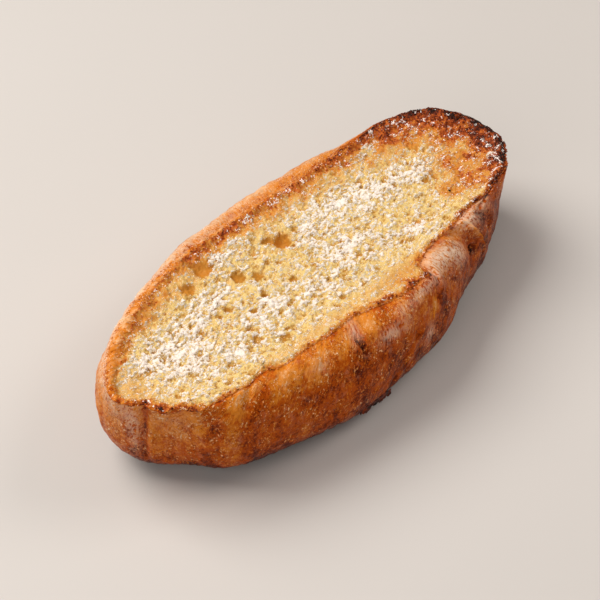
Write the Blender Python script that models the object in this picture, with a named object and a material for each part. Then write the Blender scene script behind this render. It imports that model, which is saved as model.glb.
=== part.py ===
"""French toast: one half of a soft oval roll, cut flat, soaked and toasted.

Crust and crumb are one solid. Metres, +Z up: the roll is long in X, its cut
face looks up, and it rests on a flat foot. The origin is under the middle.
"""

import random

import bmesh
import bpy
import numpy as np
from mathutils import Vector, noise

MM = 0.001

# Driving dimensions
HALF_LENGTH = 100 * MM
HALF_WIDTH = 34 * MM
RIM_HEIGHT = 44.5 * MM
OUTLINE_POWER = 2.2  # 2 is an ellipse, more is squarer
BELLY_HEIGHT = 0.5  # where the crust is widest, as a share of RIM_HEIGHT
CRUST_POWER = 2.4  # how squarely the crust turns over its belly
FOOT_SHARE = 0.72  # the flat foot against the outline

# How far the outlines reach, against the oval of the two half sizes. Both lists
# go round from the far tip, +X, towards +Y in equal steps.
RIM_REACH = (
    1.00, 1.04, 1.18, 1.06, 1.04, 1.08, 1.02, 0.98,
    1.00, 0.98, 1.05, 0.94, 1.07, 0.87, 0.97, 1.01,
)
BELLY_REACH = (
    1.04, 1.12, 1.32, 1.44, 1.19, 1.06,
    0.98, 0.98, 1.25, 1.41, 1.09, 1.01,
)

# Scallops of the rim: direction and half width in degrees, reach in mm
RIM_SCALLOPS = (
    (55, 6, 2.8), (76, 6, -0.9), (195, 3, -1.9), (207, 4, 2.0),
    (215, 3, -1.0), (221, 3, 1.0), (227, 3, -1.7), (236, 2.2, -2.6),
    (244, 4, 2.0), (263, 6, -3.6), (277, 4, 2.8), (281.5, 2.2, 4.6),
    (309, 4, -3.4), (327, 4, 2.4),
)

# Cut face
DISH_DEPTH = 2.6 * MM
LIP_HEIGHT = 1.0 * MM
RIM_CRAG = 0.8 * MM
CRUMB_SWELL = (18 * MM, 0.9 * MM)  # wavelength, height
CRUMB_LUMPS = (5.5 * MM, 1.0 * MM)

# Open pores of the crumb that stand out: x, y, radius and depth in mm
LARGE_PORES = (
    (-1, 16, 3.4, 3.0), (-5, 20, 2.4, 1.6), (-33, 26, 4.0, 2.2),
    (-44, 22, 3.0, 2.0), (-26, 14, 2.6, 2.2), (-20, 10, 2.4, 2.0),
    (-12, -1, 2.0, 1.8), (-25, 1, 2.2, 1.8), (-40, 6, 2.2, 2.0),
    (-45, 5, 1.8, 1.6), (-34, -2, 2.0, 1.6), (-40, -7, 2.0, 1.8),
    (-55, 4, 1.8, 1.5), (-43, -13, 2.6, 1.8), (-35, -20, 3.0, 1.6),
    (-63, -4, 2.0, 1.4), (-58, -15, 2.2, 1.4), (67, 0, 2.4, 2.0),
    (62, 0, 2.6, 2.4), (52, 12, 2.0, 1.2), (74, 16, 3.0, 1.0),
)
SMALL_PORES = 130
SMALL_PORE_RADIUS = (0.9 * MM, 1.7 * MM)
PORE_SEED = 7

# Creases of the crust: where each starts and ends, as a direction in degrees
# and a drop (0 at the rim, 1 at the belly, 2 at the foot), then its depth, its
# half width and the height of the skin that laps over it, in mm
CREASES = (
    (197.5, 0.05, 192, 1.15, 1.9, 2.0, 0.9),
    (223, 0.15, 228, 0.95, 0.7, 1.5, 0.2),
    (234, 0.05, 235, 1.05, 0.9, 1.7, 0.4),
    (261, 0.28, 262, 0.50, 1.8, 0.9, 0.3),
    (261, 0.50, 263, 0.95, 0.9, 3.0, 0.0),
    (269, 0.00, 270, 0.75, 1.2, 1.8, 0.5),
    (273, 0.75, 267, 1.20, 1.1, 1.8, 0.4),
    (284, 0.02, 278, 0.70, 1.2, 2.2, 0.6),
    (302, 0.08, 305, 1.10, 2.8, 1.9, 1.2),
    (317, 0.02, 308, 0.30, 1.3, 1.3, 0.7),
    (308, 0.30, 310, 0.75, 1.0, 1.5, 0.8),
)
DIMPLES = ((299, 0.68, 2.4, 2.2), (277, 0.72, 5.0, 1.2), (250, 0.60, 7.0, 0.8))
CRUST_SWELL = (26 * MM, 1.2 * MM)
CRUST_DENTS = (11 * MM, 0.6 * MM)
WRINKLE_PITCH = 6.5 * MM
WRINKLE_DEPTH = 0.5 * MM

# Mesh: panels along X, Y and Z before it is thinned to MOST_TRIANGLES
PANELS = (128, 72, 38)
MOST_TRIANGLES = 9800
FOOT_SNAP = 0.15 * MM

CRUST_COLOUR = (0.62, 0.25, 0.07, 1)
CRUMB_COLOUR = (0.90, 0.68, 0.32, 1)


def round_curve(values, angle):
    """A closed smooth curve through values that stand at equal steps of angle."""
    values = np.asarray(values, float)
    place = angle / (2 * np.pi) * len(values)
    step = np.floor(place)
    along = place - step
    a, b, c, d = (values.take(step.astype(int) + k, mode="wrap") for k in (-1, 0, 1, 2))
    cubic = 2 * a - 5 * b + 4 * c - d + along * (3 * (b - c) + d - a)
    return b + 0.5 * along * (c - a + along * cubic)


def bell(distance):
    return np.exp(-distance * distance)


def ease(start, end, value):
    """0 before start, 1 after end, and smooth between."""
    share = np.clip((value - start) / (end - start), 0, 1)
    return share * share * (3 - 2 * share)


def turn_between(angle, direction):
    """The angle from a direction in degrees, in degrees, by the short way."""
    return (np.degrees(angle) - direction + 180) % 360 - 180


def noise_at(points, wavelength, shift=0.0):
    """Smooth noise of about -1 to 1 at each point."""
    offset = Vector((shift, 2 * shift, -shift))
    return np.array([noise.noise(Vector(p) / wavelength + offset) for p in points])


def oval(angle):
    """The plain oval of the two half sizes, as points in plan."""
    across, up = np.cos(angle), np.sin(angle)
    size = (abs(across) ** OUTLINE_POWER + abs(up) ** OUTLINE_POWER) ** (-1 / OUTLINE_POWER)
    return np.stack([HALF_LENGTH * across * size, HALF_WIDTH * up * size], axis=1)


def rim_outline(angle):
    plain = oval(angle) * round_curve(RIM_REACH, angle)[:, None]
    outward = plain / np.linalg.norm(plain, axis=1)[:, None]
    reach = sum(
        height * MM * bell(turn_between(angle, direction) / width)
        for direction, width, height in RIM_SCALLOPS
    )
    return plain + outward * reach[:, None]


def belly_outline(angle):
    return oval(angle) * round_curve(BELLY_REACH, angle)[:, None]


def way_in(angle, reach):
    """How far a point of the cut face lies in from the rim, in metres."""
    rim = oval(angle)
    along = oval(angle + 0.01) - oval(angle - 0.01)
    across = abs(rim[:, 0] * along[:, 1] - rim[:, 1] * along[:, 0])
    return (1 - reach) * across / np.linalg.norm(along, axis=1)


def run_along_rim(angle):
    """The way round the belly from the far tip, in metres."""
    steps = np.linspace(-np.pi, np.pi, 721)
    corners = belly_outline(steps)
    lengths = np.linalg.norm(np.diff(corners, axis=0), axis=1)
    return np.interp(angle, steps, np.concatenate([[0], np.cumsum(lengths)]))


def panelled_cube():
    """A cube of side 2 whose faces are split into a grid of panels."""
    bm = bmesh.new()
    bmesh.ops.create_cube(bm, size=2)
    for axis, panels in enumerate(PANELS):
        along = [e for e in bm.edges if abs(e.verts[0].co[axis] - e.verts[1].co[axis]) > 1]
        bmesh.ops.subdivide_edges(bm, edges=along, cuts=panels - 1, use_grid_fill=True)
    bmesh.ops.triangulate(bm, faces=bm.faces, quad_method="SHORT_EDGE")
    return bm


def loaf_coordinates(cube):
    """Angle, reach (0 in the middle, 1 at the rim) and drop (0 rim, 2 foot)."""
    x, y, z = cube.T
    across = x * np.sqrt(1 - y * y / 2)
    up = y * np.sqrt(1 - x * x / 2)
    return np.arctan2(up, across), np.hypot(across, up), 1 - z


def crust_section(angle, drop):
    """The smooth crust, from the rim over its belly and under to the foot."""
    rim = rim_outline(angle)
    belly = belly_outline(angle)
    foot = oval(angle) * FOOT_SHARE
    above = np.clip(1 - drop, 0, 1) * np.pi / 2
    below = np.clip(drop - 1, 0, 1) * np.pi / 2
    over = (np.cos(above) ** (2 / CRUST_POWER))[:, None]
    under = (np.cos(below) ** (2 / CRUST_POWER))[:, None]
    plan = np.where(
        (drop <= 1)[:, None], rim + (belly - rim) * over, foot + (belly - foot) * under
    )
    rise = BELLY_HEIGHT + (1 - BELLY_HEIGHT) * np.sin(above) ** (2 / CRUST_POWER)
    fall = BELLY_HEIGHT * (1 - np.sin(below) ** (2 / CRUST_POWER))
    height = np.where(drop <= 1, rise, fall) * RIM_HEIGHT
    return np.column_stack([plan, height])


def crease_relief(angle, drop):
    """How far the creases and dimples push the crust in or out."""
    speed = np.linalg.norm(belly_outline(angle + 0.01) - belly_outline(angle), axis=1) / 0.01
    relief = np.zeros_like(angle)
    for start, top, end, bottom, depth, width, lap in CREASES:
        share = np.clip((drop - top) / (bottom - top), 0, 1)
        middle = start + (end - start) * share
        across = np.radians(turn_between(angle, middle)) * speed / (width * MM)
        beyond = np.maximum(top - drop, drop - bottom)
        fade = ease(0.16, 0, beyond)
        relief += fade * MM * (lap * bell((across - 2) / 1.3) - depth * bell(across))
    for direction, level, radius, depth in DIMPLES:
        across = np.radians(turn_between(angle, direction)) * speed
        down = (drop - level) * RIM_HEIGHT * 0.7
        relief -= depth * MM * bell(np.hypot(across, down) / (radius * MM))
    return relief


def crust_relief(points, angle, drop):
    """Swells, dents and wrinkles of the crust, gone at the foot."""
    run = run_along_rim(angle)
    wrinkle_at = np.column_stack([run, drop * 9 * MM, np.zeros_like(run)])
    wrinkles = (1 - abs(noise_at(wrinkle_at, WRINKLE_PITCH))) ** 4
    relief = (
        CRUST_SWELL[1] * noise_at(points, CRUST_SWELL[0])
        + CRUST_DENTS[1] * noise_at(points, CRUST_DENTS[0], 7)
        - WRINKLE_DEPTH * wrinkles * ease(0.05, 0.3, drop)
        + crease_relief(angle, drop)
    )
    return relief * ease(2.0, 1.6, drop)


def scattered_pores():
    """Small pores, spread evenly over the cut face by a seeded draw."""
    draw = random.Random(PORE_SEED)
    for _ in range(SMALL_PORES):
        angle = np.array([draw.uniform(-np.pi, np.pi)])
        x, y = rim_outline(angle)[0] * 0.92 * draw.random() ** 0.5
        radius = draw.uniform(*SMALL_PORE_RADIUS)
        yield x, y, radius, 0.75 * radius


def pore_relief(plan):
    """How far the pores sink the cut face."""
    pores = [tuple(size * MM for size in pore) for pore in LARGE_PORES]
    relief = np.zeros(len(plan))
    for x, y, radius, depth in pores + list(scattered_pores()):
        away = np.hypot(plan[:, 0] - x, plan[:, 1] - y) / radius
        relief = np.minimum(relief, -depth * ease(1.25, 0.35, away))
    return relief


def cut_face(angle, reach):
    """The dished, pored crumb inside its crisp lip."""
    plan = rim_outline(angle) * reach[:, None]
    flat = np.column_stack([plan, np.zeros(len(plan))])
    lumps = noise_at(flat, CRUMB_LUMPS[0], 3) + 0.5 * noise_at(flat, CRUMB_LUMPS[0] / 2, 5)
    depth_in = way_in(angle, reach) / MM
    inside = ease(0, 4, depth_in)
    height = (
        RIM_HEIGHT
        + rim_crags(angle) * ease(5, 0, depth_in)
        + LIP_HEIGHT * bell((depth_in - 2.2) / 1.6)
        - DISH_DEPTH * ease(0, 20, depth_in)
        + CRUMB_SWELL[1] * noise_at(flat, CRUMB_SWELL[0], 11) * inside
        + CRUMB_LUMPS[1] * lumps * ease(0, 1.5, depth_in)
        + pore_relief(plan) * inside
    )
    return np.column_stack([plan, height])


def rim_crags(angle):
    """The uneven height of the crisp rim."""
    run = run_along_rim(angle)
    line = np.column_stack([run, np.zeros((len(run), 2))])
    return RIM_CRAG * (noise_at(line, 9 * MM, 4) + 0.6 * noise_at(line, 3.5 * MM, 9))


def set_points(mesh, points):
    mesh.vertices.foreach_set("co", points.astype(np.float32).ravel())
    mesh.update()


def points_of(mesh, kind="co"):
    values = np.empty(len(mesh.vertices) * 3, np.float32)
    source = mesh.vertices if kind == "co" else mesh.vertex_normals
    source.foreach_get(kind, values)
    return values.reshape(-1, 3).astype(float)


def shape_loaf(mesh):
    """Moves the points of a panelled cube to the loaf's surface."""
    cube = points_of(mesh)
    angle, reach, drop = loaf_coordinates(cube)
    crumb = (cube[:, 2] > 0.9999) & (reach < 0.9999)
    foot = (cube[:, 2] < -0.9999) & (reach < 0.9999)
    crust = ~crumb & ~foot
    points = crust_section(angle, drop)
    points[foot, :2] = (oval(angle) * FOOT_SHARE * reach[:, None])[foot]
    points[crumb] = cut_face(angle[crumb], reach[crumb])
    set_points(mesh, points)
    outward = points_of(mesh, "vector")
    relief = crust_relief(points[crust], angle[crust], drop[crust])
    points[crust] += outward[crust] * relief[:, None] * ease(0.0, 0.12, drop[crust])[:, None]
    points[crust, 2] += rim_crags(angle[crust]) * ease(0.25, 0.0, drop[crust])
    set_points(mesh, points)


def thin(obj):
    """Merges the flattest triangles first until MOST_TRIANGLES are left."""
    modifier = obj.modifiers.new("Thin", "DECIMATE")
    modifier.ratio = MOST_TRIANGLES / len(obj.data.polygons)
    graph = bpy.context.evaluated_depsgraph_get()
    thinned = bpy.data.meshes.new_from_object(obj.evaluated_get(graph))
    obj.modifiers.remove(modifier)
    obj.data = thinned


def seat(mesh):
    """Flattens the foot onto Z = 0 and puts the origin under the middle."""
    points = points_of(mesh)
    points[points[:, 2] < FOOT_SNAP, 2] = 0
    middle = (points.min(axis=0) + points.max(axis=0)) / 2
    points[:, :2] -= middle[:2]
    set_points(mesh, points)


def make_material(name, colour, roughness):
    material = bpy.data.materials.new(name)
    material.use_nodes = True
    shader = material.node_tree.nodes["Principled BSDF"]
    shader.inputs["Base Color"].default_value = colour
    shader.inputs["Roughness"].default_value = roughness
    shader.inputs["Metallic"].default_value = 0
    return material


def paint(mesh):
    """Crumb colour on the cut face inside the rim, crust colour on the rest."""
    mesh.materials.clear()
    mesh.materials.append(make_material("baked_crust", CRUST_COLOUR, 0.45))
    mesh.materials.append(make_material("toasted_crumb", CRUMB_COLOUR, 0.7))
    lowest = RIM_HEIGHT - DISH_DEPTH - 6 * MM
    for face in mesh.polygons:
        face.material_index = int(face.center.z > lowest and inside_rim(face.center))


def inside_rim(point):
    angle = np.arctan2(point.y / HALF_WIDTH, point.x / HALF_LENGTH)
    edge = rim_outline(np.array([angle]))[0]
    return point.xy.length < np.linalg.norm(edge) * 0.985


def make_toast(collection):
    bm = panelled_cube()
    mesh = bpy.data.meshes.new("toasted_half")
    bm.to_mesh(mesh)
    bm.free()
    shape_loaf(mesh)
    toast = bpy.data.objects.new("toasted_half", mesh)
    collection.objects.link(toast)
    thin(toast)
    paint(toast.data)
    seat(toast.data)
    toast.data.shade_smooth()
    toast.data.set_sharp_from_angle(angle=np.radians(50))
    return toast


def main():
    for obj in list(bpy.data.objects):
        bpy.data.objects.remove(obj)
    collection = bpy.data.collections.new("french_toast")
    bpy.context.scene.collection.children.link(collection)
    make_toast(collection)


main()
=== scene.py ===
# %% [markdown]
# # French toast: one half of an oval roll, cut face up
# A soft roll is cut in half along its length, soaked in egg and milk, browned
# in butter and dusted with powdered sugar. What is left to see is a satin
# crust, a crisp torn rim, an open golden crumb and white sugar on its crests.
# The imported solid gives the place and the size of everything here, so it is
# loaded first and its box is kept to compare with at the end.

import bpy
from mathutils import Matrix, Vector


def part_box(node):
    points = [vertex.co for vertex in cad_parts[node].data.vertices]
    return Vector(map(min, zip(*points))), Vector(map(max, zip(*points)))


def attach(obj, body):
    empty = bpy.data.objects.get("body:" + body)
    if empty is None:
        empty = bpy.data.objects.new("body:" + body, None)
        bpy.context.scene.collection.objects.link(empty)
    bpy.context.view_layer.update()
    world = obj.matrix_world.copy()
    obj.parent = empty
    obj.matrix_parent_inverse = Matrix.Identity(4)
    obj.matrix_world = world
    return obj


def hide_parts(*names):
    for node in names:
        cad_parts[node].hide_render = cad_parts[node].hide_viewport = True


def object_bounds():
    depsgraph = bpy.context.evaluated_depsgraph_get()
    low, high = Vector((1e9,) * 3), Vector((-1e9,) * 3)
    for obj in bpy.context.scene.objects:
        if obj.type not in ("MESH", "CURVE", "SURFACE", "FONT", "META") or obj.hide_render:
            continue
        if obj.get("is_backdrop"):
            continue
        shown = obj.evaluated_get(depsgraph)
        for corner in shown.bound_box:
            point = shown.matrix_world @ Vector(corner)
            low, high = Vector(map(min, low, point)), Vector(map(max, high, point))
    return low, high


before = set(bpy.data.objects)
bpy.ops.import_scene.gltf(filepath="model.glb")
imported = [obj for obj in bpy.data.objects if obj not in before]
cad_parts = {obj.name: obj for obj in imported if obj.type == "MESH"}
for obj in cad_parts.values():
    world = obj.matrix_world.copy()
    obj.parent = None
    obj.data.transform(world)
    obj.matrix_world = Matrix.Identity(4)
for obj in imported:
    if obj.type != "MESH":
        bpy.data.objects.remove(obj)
cad_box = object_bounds()
print("nodes:", sorted(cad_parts), "box:", [tuple(round(v, 4) for v in c) for c in cad_box])

# %% Tools and units
import math
import random

import bmesh
import bpy
import numpy as np
from mathutils import Matrix, Vector, noise

MM = 0.001

# %% [markdown]
# ## The camera
# The camera looks down on the roll from its near left, far enough away that
# the two ends keep almost the same size. A matrix is made from three arrows,
# right, up and backwards, because that leaves no doubt about the roll of the
# camera, which Euler angles easily hide.

# %% Camera
CAMERA_PLACE = Vector((-351.3, -335.6, 530.0)) * MM
CAMERA_HEADING = math.radians(45.5)  # turned from +Y towards +X
CAMERA_TILT = math.radians(46.5)  # down from level
CAMERA_LENS = 110  # mm
CAMERA_SENSOR = 36  # mm across


def aim(place, heading, tilt):
    """The matrix of a camera or light that stands at a place and looks down."""
    right = Vector((math.cos(heading), -math.sin(heading), 0))
    level = Vector((math.sin(heading), math.cos(heading), 0))
    ahead = level * math.cos(tilt) - Vector((0, 0, 1)) * math.sin(tilt)
    turn = Matrix((right, right.cross(ahead), -ahead)).transposed().to_4x4()
    return Matrix.Translation(place) @ turn


def put_in_scene(name, data):
    """Links a new object to the scene."""
    thing = bpy.data.objects.new(name, data)
    bpy.context.scene.collection.objects.link(thing)
    return thing


camera = put_in_scene("camera", bpy.data.cameras.new("camera"))
camera.data.lens = CAMERA_LENS
camera.data.sensor_width = CAMERA_SENSOR
camera.matrix_world = aim(CAMERA_PLACE, CAMERA_HEADING, CAMERA_TILT)
bpy.context.scene.camera = camera
print("camera is", round(CAMERA_PLACE.length, 3), "m from the roll")

# %% [markdown]
# ## Nodes in few words
# Each material is a small tree. One helper adds a node, sets it and wires it,
# and takes either a number or another node's socket for any input, so that a
# whole tree reads from top to bottom. Colours are mixed on a screen scale of 0
# to 255, and the shader wants them linear.


# %% Colours and nodes
def tint(red, green, blue):
    """A screen colour of 0 to 255 as the linear colour that a shader wants."""
    share = np.array([red, green, blue]) / 255
    linear = np.where(share <= 0.04045, share / 12.92, ((share + 0.055) / 1.055) ** 2.4)
    return (*map(float, linear), 1.0)


def feed(tree, node, inputs):
    """Gives a node's inputs numbers, colours or other nodes' outputs."""
    for name, value in inputs.items():
        if isinstance(value, bpy.types.NodeSocket):
            tree.links.new(value, node.inputs[name])
        else:
            node.inputs[name].default_value = value


def add(tree, kind, inputs, **settings):
    """Adds a node, sets it and feeds it."""
    made = tree.nodes.new(kind)
    for name, value in settings.items():
        setattr(made, name, value)
    feed(tree, made, inputs)
    return made


print("a mid grey of 128 is", round(tint(128, 128, 128)[0], 3), "to the shader")

# %% Sums of nodes
SIGNS = {"+": "ADD", "-": "SUBTRACT", "*": "MULTIPLY"}


def calc(tree, first, sign, second, clamp=False):
    """One sum of two values."""
    inputs = {0: first, 1: second}
    return add(tree, "ShaderNodeMath", inputs, operation=SIGNS[sign], use_clamp=clamp).outputs[0]


def add_marks(tree, value, marks):
    """A value with masks added to it, each by its own amount."""
    for mark, amount in marks:
        value = calc(tree, value, "+", calc(tree, mark, "*", amount))
    return value


def sway(tree, value, clouds):
    """A value pushed up and down by noises of 0 to 1, each by its own amount."""
    marks = [(calc(tree, cloud, "-", 0.5), amount) for cloud, amount in clouds]
    return add_marks(tree, value, marks)


def blend_colours(tree, share, first, second, how="MIX"):
    """first where share is 0, second where it is 1."""
    inputs = {0: share, 6: first, 7: second}
    mixed = add(tree, "ShaderNodeMix", inputs, data_type="RGBA", blend_type=how)
    return mixed.outputs[2]


def smooth_step(tree, value, low, high):
    """0 below low, 1 above high and smooth between."""
    inputs = {0: value, 1: low, 2: high}
    stepped = add(tree, "ShaderNodeMapRange", inputs, interpolation_type="SMOOTHSTEP")
    return stepped.outputs[0]


# %% Places, noise and relief
def attribute(tree, name, kind="Fac"):
    """A value that the mesh keeps at each of its points."""
    return add(tree, "ShaderNodeAttribute", {}, attribute_name=name).outputs[kind]


def place_on_object(tree):
    return add(tree, "ShaderNodeTexCoord", {}).outputs["Object"]


def grain(tree, vector, size, detail=3.0, roughness=0.55, bend=0.0):
    """Cloudy noise of 0 to 1 whose lumps are about size metres across."""
    inputs = {"Vector": vector, "Scale": 1 / size, "Detail": detail, "Roughness": roughness}
    return add(tree, "ShaderNodeTexNoise", {**inputs, "Distortion": bend}).outputs["Fac"]


def thin_lines(tree, cloud, width):
    """1 along thin lines, where a noise passes its middle."""
    inputs = {0: calc(tree, cloud, "-", 0.5)}
    away = add(tree, "ShaderNodeMath", inputs, operation="ABSOLUTE").outputs[0]
    return smooth_step(tree, away, width, 0.0)


def bumped(tree, height, strength, depth):
    """The normals of a surface with a fine relief of so many metres."""
    inputs = {"Height": height, "Strength": strength, "Distance": depth}
    return add(tree, "ShaderNodeBump", inputs).outputs["Normal"]


# %% [markdown]
# ## Floor and light
# The roll is shown on a plain pale surface under a wide soft lamp, high on
# its far side. A paler one fills the shadows from the left, and a weak warm
# one on the right stands for light thrown back by a plate. Wide lamps make the
# broad dull shine of an egg-washed crust; a small lamp would put hard white
# dots on every wrinkle.

# %% Floor
FLOOR_REACH = 3.0
FLOOR_CLOUDS = 0.3
FLOOR_COLOURS = tint(205, 199, 194), tint(211, 206, 202)


def new_material(name):
    """An empty tree with its shader and output in place."""
    material = bpy.data.materials.new(name)
    material.use_nodes = True
    return material, material.node_tree, material.node_tree.nodes["Principled BSDF"]


def new_grid(panels, size=1):
    """A bmesh with a flat square grid, from -size to size."""
    bm = bmesh.new()
    bmesh.ops.create_grid(bm, x_segments=panels[0], y_segments=panels[1], size=size)
    return bm


def finish_mesh(bm, name):
    """Turns a bmesh into a smooth mesh and frees it."""
    bmesh.ops.recalc_face_normals(bm, faces=bm.faces)
    mesh = bpy.data.meshes.new(name)
    bm.to_mesh(mesh)
    bm.free()
    mesh.shade_smooth()
    return mesh


floor_paint, tree, shader = new_material("pale_matt_floor")
cloudy = grain(tree, place_on_object(tree), FLOOR_CLOUDS)
feed(tree, shader, {"Base Color": blend_colours(tree, cloudy, *FLOOR_COLOURS), "Roughness": 0.6})
floor = put_in_scene("floor", finish_mesh(new_grid((2, 2), FLOOR_REACH), "floor"))
floor.data.materials.append(floor_paint)
floor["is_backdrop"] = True
print("the floor is", 2 * FLOOR_REACH, "m wide")

# %% Light
# Each soft square lamp: name, place and size in metres, heading and tilt in
# degrees, watts and colour
LAMPS = (
    ("key_light", (-0.35, 0.75, 1.15), 1.0, 155, 54, 20.5, (1.0, 0.97, 0.92)),
    ("fill_light", (-1.1, -0.45, 0.9), 1.0, 68, 37, 6, (1.0, 0.96, 0.94)),
    ("side_light", (0.85, -0.50, 0.95), 0.6, 301, 44, 5.5, (1.0, 0.92, 0.86)),
)
ROOM_LIGHT = 0.12

for name, place, size, heading, tilt, watts, colour in LAMPS:
    lamp = put_in_scene(name, bpy.data.lights.new(name, "AREA"))
    lamp.data.size = size
    lamp.data.energy = watts
    lamp.data.color = colour
    lamp.matrix_world = aim(Vector(place), math.radians(heading), math.radians(tilt))
world = bpy.data.worlds.new("soft_room")
world.use_nodes = True
sky = world.node_tree.nodes["Background"]
feed(world.node_tree, sky, {"Color": (1.0, 0.97, 0.94, 1), "Strength": ROOM_LIGHT})
bpy.context.scene.world = world
bpy.context.scene.view_settings.view_transform = "Standard"

# %% [markdown]
# ## The outlines of the roll
# Every ring of the loaf is an oval with its own bulges. A plain superellipse
# gives the oval, short lists say how far it reaches in each direction at the
# rim and at the belly, and the small bites and bulges of the rim are added as
# bells. The same named sizes drive the solid, so both have one outline.

# %% Outline sizes
HALF_LENGTH = 100 * MM
HALF_WIDTH = 34 * MM
RIM_HEIGHT = 44.5 * MM
OUTLINE_POWER = 2.2  # 2 is an ellipse, more is squarer
BELLY_HEIGHT = 0.5  # where the crust is widest, as a share of RIM_HEIGHT
CRUST_POWER = 2.4  # how squarely the crust turns over its belly
FOOT_SHARE = 0.72  # the flat foot against the outline

# Both lists go round from the far tip, +X, towards +Y in equal steps.
RIM_REACH = (
    1, 1.04, 1.18, 1.06, 1.04, 1.08, 1.02, 0.98,
    1, 0.98, 1.05, 0.94, 1.07, 0.87, 0.97, 1.01,
)
BELLY_REACH = (
    1.04, 1.12, 1.32, 1.44, 1.19, 1.06,
    0.98, 0.98, 1.25, 1.41, 1.09, 1.01,
)

# Scallops of the rim: direction and half width in degrees, reach in mm
RIM_SCALLOPS = (
    (55, 6, 2.8), (76, 6, -0.9), (195, 3, -1.9), (207, 4, 2),
    (215, 3, -1), (221, 3, 1), (227, 3, -1.7), (236, 2.2, -2.6),
    (244, 4, 2), (263, 6, -3.6), (277, 4, 2.8), (281.5, 2.2, 4.6),
    (309, 4, -3.4), (327, 4, 2.4),
)

# A noise is a sum of layers: wavelength in mm, shift and share. The shift picks
# another stretch of the same noise, and a share in metres is a height.
RAGGED_EDGE = ((3.1, 15, 0.40 * MM), (1.3, 15, 0.28 * MM))
print("the rim has", len(RIM_SCALLOPS), "bites and bulges")


# %% Curves that the shapes share
def round_curve(values, angle):
    """A closed smooth curve through values that stand at equal steps of angle."""
    values = np.asarray(values, float)
    place = angle / (2 * np.pi) * len(values)
    step = np.floor(place)
    along = place - step
    a, b, c, d = (values.take(step.astype(int) + k, mode="wrap") for k in (-1, 0, 1, 2))
    cubic = 2 * a - 5 * b + 4 * c - d + along * (3 * (b - c) + d - a)
    return b + 0.5 * along * (c - a + along * cubic)


def bell(distance):
    return np.exp(-distance * distance)


def ease(start, end, value):
    """0 before start, 1 after end, and smooth between."""
    share = np.clip((value - start) / (end - start), 0, 1)
    return share * share * (3 - 2 * share)


def turn_between(angle, direction):
    """The angle from a direction in degrees, in degrees, by the short way."""
    return (np.degrees(angle) - direction + 180) % 360 - 180


def noise_at(points, wavelength, shift=0.0):
    """Smooth noise of about -1 to 1 at each point."""
    places = points / wavelength + np.array([shift, 2 * shift, -shift])
    return np.array([noise.noise(place) for place in places.tolist()])


def layered(points, layers, total=0.0):
    """Layers of noise, each of a wavelength in mm, a shift and a share, on a total."""
    for wavelength, shift, share in layers:
        total = total + share * noise_at(points, wavelength * MM, shift)
    return total


def lay(along, across=0.0):
    """Points on a flat sheet, so that noise can be asked for on it."""
    return np.column_stack([along, across + 0 * along, 0 * along])


def lengths_along(points):
    """How far each point is from the first, along the line through all of them."""
    steps = np.linalg.norm(np.diff(points, axis=0), axis=1)
    return np.concatenate([[0], np.cumsum(steps)])


print("a quarter of the way, ease gives", ease(0, 1, 0.25))

# %% Outlines of rim and belly
LITTLE_TURN = 0.01  # radians, to measure how fast an outline runs
ROUND_STEPS = 721  # corners in a measured way round


def oval(angle):
    """The plain oval of the two half sizes, as points in plan."""
    across, up = np.cos(angle), np.sin(angle)
    size = (abs(across) ** OUTLINE_POWER + abs(up) ** OUTLINE_POWER) ** (-1 / OUTLINE_POWER)
    return np.stack([HALF_LENGTH * across * size, HALF_WIDTH * up * size], axis=1)


def rim_outline(angle):
    plain = oval(angle) * round_curve(RIM_REACH, angle)[:, None]
    outward = plain / np.linalg.norm(plain, axis=1)[:, None]
    reach = sum(
        height * MM * bell(turn_between(angle, direction) / width)
        for direction, width, height in RIM_SCALLOPS
    )
    reach = layered(lay(run_along_rim(angle)), RAGGED_EDGE, reach)
    return plain + outward * reach[:, None]


def belly_outline(angle):
    return oval(angle) * round_curve(BELLY_REACH, angle)[:, None]


def width_in(angle):
    """How far the middle of the cut face lies in from the rim, in metres."""
    rim = oval(angle)
    along = oval(angle + LITTLE_TURN) - oval(angle - LITTLE_TURN)
    across = abs(rim[:, 0] * along[:, 1] - rim[:, 1] * along[:, 0])
    return across / np.linalg.norm(along, axis=1)


def run_along_rim(angle):
    """The way round the belly from the far tip, in metres."""
    steps = np.linspace(-np.pi, np.pi, ROUND_STEPS)
    return np.interp(angle, steps, lengths_along(belly_outline(steps)))


girth = run_along_rim(np.array([np.pi]))[0]
print("the way round the belly is", round(girth / MM), "mm")

# %% [markdown]
# ## The cut face
# The knife leaves a flat face, and baking and soaking shape it: the middle
# sinks a little, the rim stands up crisp and uneven, and gas bubbles lie open
# as pores. The big pores are listed one by one because they give this half
# its face; the small ones are drawn at random from a fixed seed. The height
# is a plain function of direction and reach, so the crumb and the crust's lip
# can both ask for it and always meet.

# %% Cut face sizes
DISH_DEPTH = 2.6 * MM
LIP_HEIGHT = 1.0 * MM
RIM_CRAG = 0.8 * MM
RIM_CRAGS = ((9, 4, 1), (3.5, 9, 0.6), (1.3, 2, 0.45))
CRUMB_SWELL = ((18, 11, 0.9 * MM),)
CRUMB_LUMP = 1.0 * MM
CRUMB_LUMPS = ((5.5, 3, 1), (2.75, 5, 0.5))

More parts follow.
